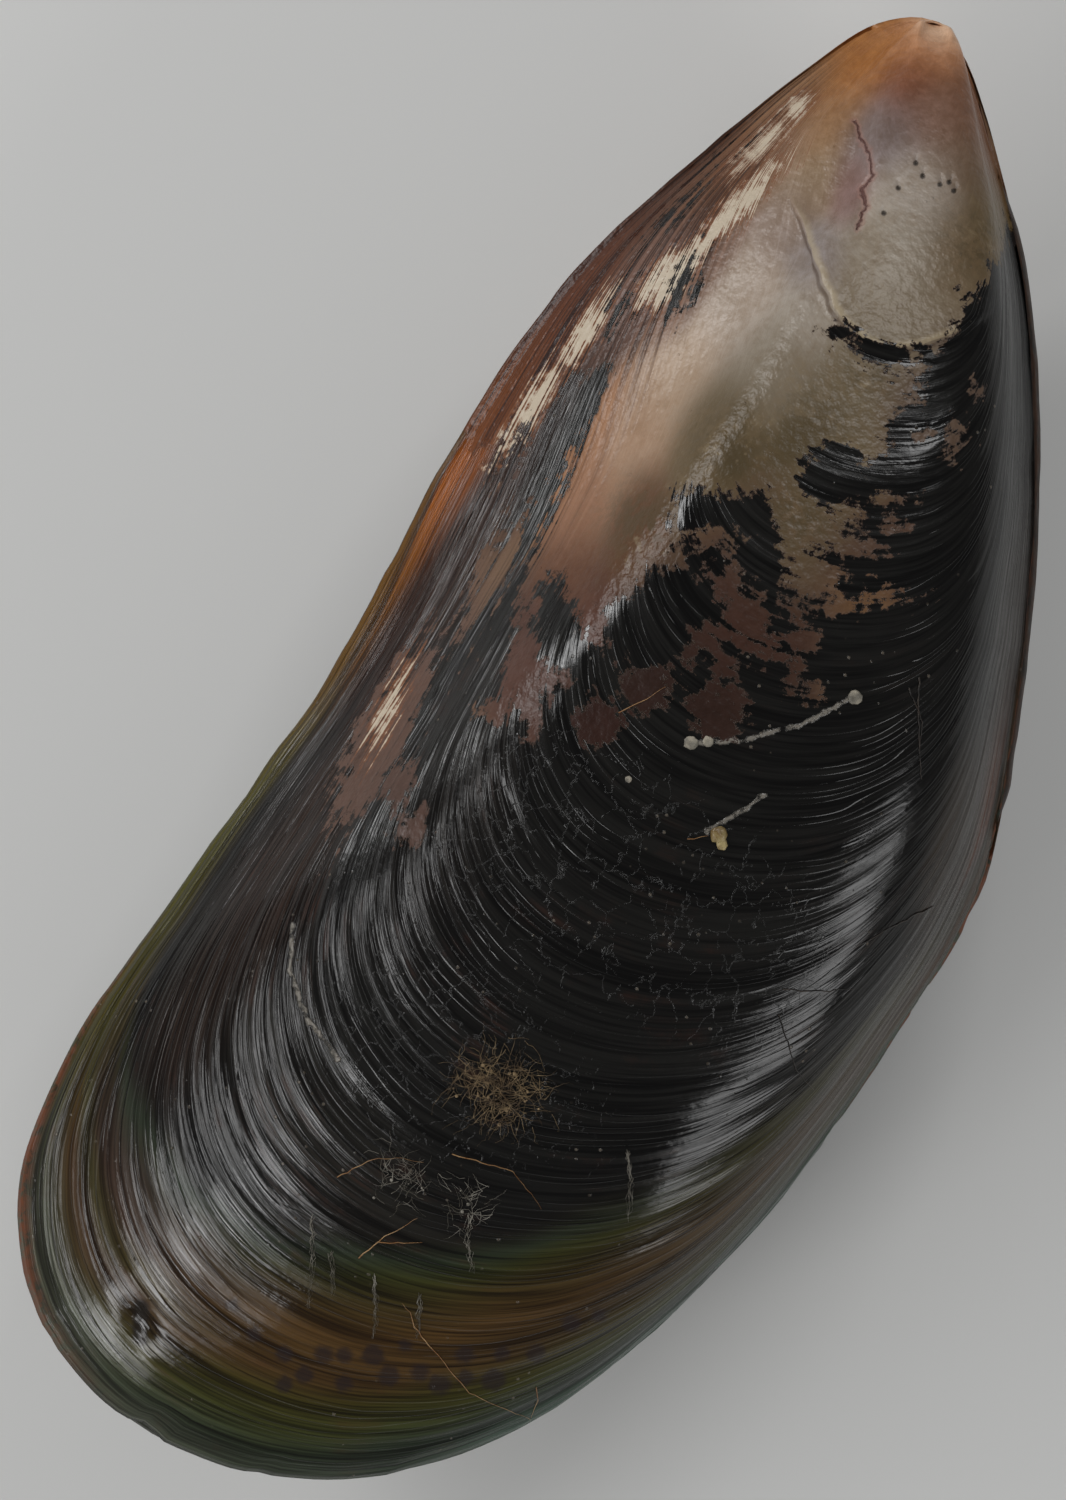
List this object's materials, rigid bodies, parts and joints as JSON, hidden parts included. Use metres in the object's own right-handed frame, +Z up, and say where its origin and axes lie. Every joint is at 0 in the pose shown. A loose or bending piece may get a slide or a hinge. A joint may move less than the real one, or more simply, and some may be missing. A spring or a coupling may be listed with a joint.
{
  "type": "mussel shell",
  "caption": "Closed mussel shell lying on its side: two long pointed valves with dark glossy skin, worn pale beaks, and a horny ligament along the hinge.",
  "frame": {"origin": "centre of the shell's bounding box at the height of the surface it rests on", "axes": "+X from the beaks to the rear margin, +Y towards the hinge side, +Z up through the left valve, square to the seam between the valves"},
  "size_m": [0.12, 0.0532, 0.0392],
  "materials": {
    "shell": "glossy near-black horny skin with fine concentric growth lines, worn to brown, violet-grey and cream shell towards the beak, olive and teal bands at the rear",
    "ligament": "dark brown fibrous horn, satin, with fine lengthwise strands",
    "growth": "dry brown threads and hairs of small sea growth",
    "chalk": "dull chalky remains of small barnacles and grains"
  },
  "bodies": {
    "root": {"left_valve": "shell", "right_valve": "shell", "ligament": "ligament"}
  },
  "joints": []
}
